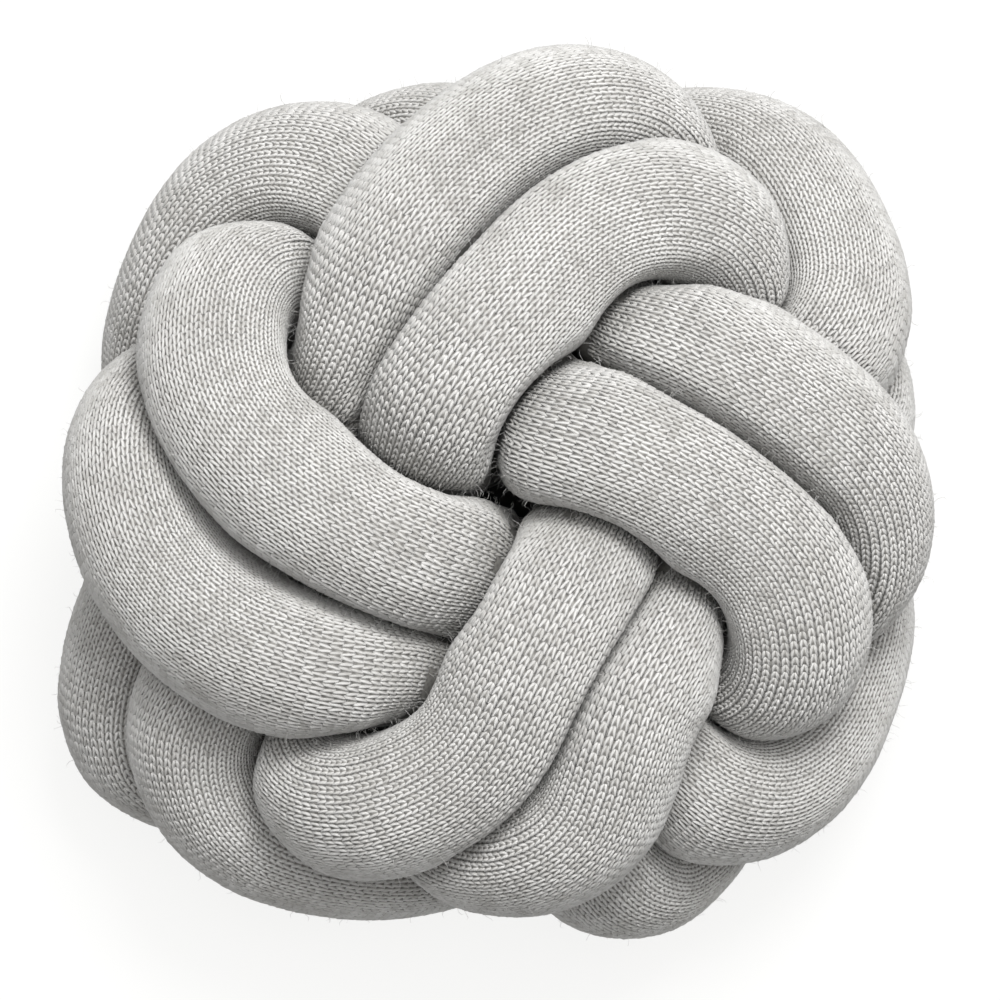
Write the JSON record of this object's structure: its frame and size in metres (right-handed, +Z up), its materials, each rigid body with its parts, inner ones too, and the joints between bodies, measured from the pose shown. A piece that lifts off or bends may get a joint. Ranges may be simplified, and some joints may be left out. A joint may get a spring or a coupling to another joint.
{
  "type": "knot cushion",
  "caption": "Round cushion made of a thick stuffed knitted tube, tied in a flattened ball knot with paired folds round a small central hole.",
  "frame": {"origin": "under the middle of the cushion's outline, on the surface that it rests on", "axes": "+Z up, along the axis of the central hole; +Y towards the top edge of the view from above; +X to its right"},
  "size_m": [0.2988, 0.303, 0.1579],
  "materials": {
    "knitted_wool": "matt knitted wool, pale grey with darker flecks"
  },
  "bodies": {
    "root": {"knotted_tube": "knitted_wool"}
  },
  "joints": []
}
